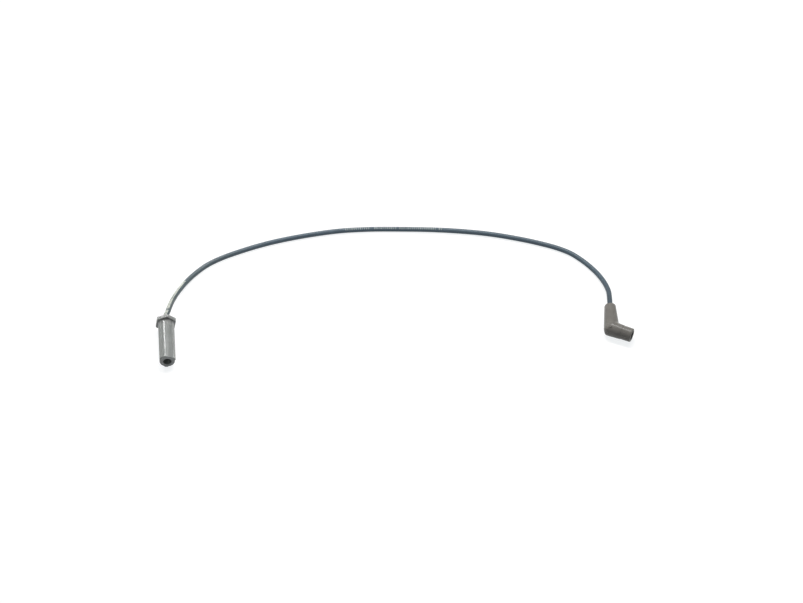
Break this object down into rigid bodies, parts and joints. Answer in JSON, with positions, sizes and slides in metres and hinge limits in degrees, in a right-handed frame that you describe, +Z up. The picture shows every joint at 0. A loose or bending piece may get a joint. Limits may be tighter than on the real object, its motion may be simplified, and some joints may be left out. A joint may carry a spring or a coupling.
{
  "type": "spark plug wire",
  "caption": "Ignition lead: a straight plug boot with a hexagonal pull flange and a bent coil boot, joined by an insulated cable that lies in a wide arch.",
  "frame": {"origin": "on the floor, at the middle of the box round the two boots and what is in them, the cable left out", "axes": "+X from the plug end to the coil end, +Y to the crown of the cable's arch, +Z up"},
  "size_m": [0.6432, 0.2704, 0.029],
  "materials": {
    "plug_boot_silicone": "moulded silicone, satin grey with a faint green cast",
    "coil_boot_silicone": "moulded silicone, satin brown grey",
    "cable_jacket": "extruded silicone jacket, soft satin slate blue",
    "conductor": "matt black conductive core",
    "terminal_metal": "stamped plated sheet, dull bright",
    "spring_wire": "bright drawn spring wire"
  },
  "bodies": {
    "root": {"plug_boot": "plug_boot_silicone", "plug_terminal": "terminal_metal", "plug_snap_ring": "spring_wire", "ignition_cable": "cable_jacket", "conductor_core": "conductor", "coil_boot": "coil_boot_silicone", "coil_terminal": "terminal_metal", "coil_snap_ring": "spring_wire"}
  },
  "joints": []
}
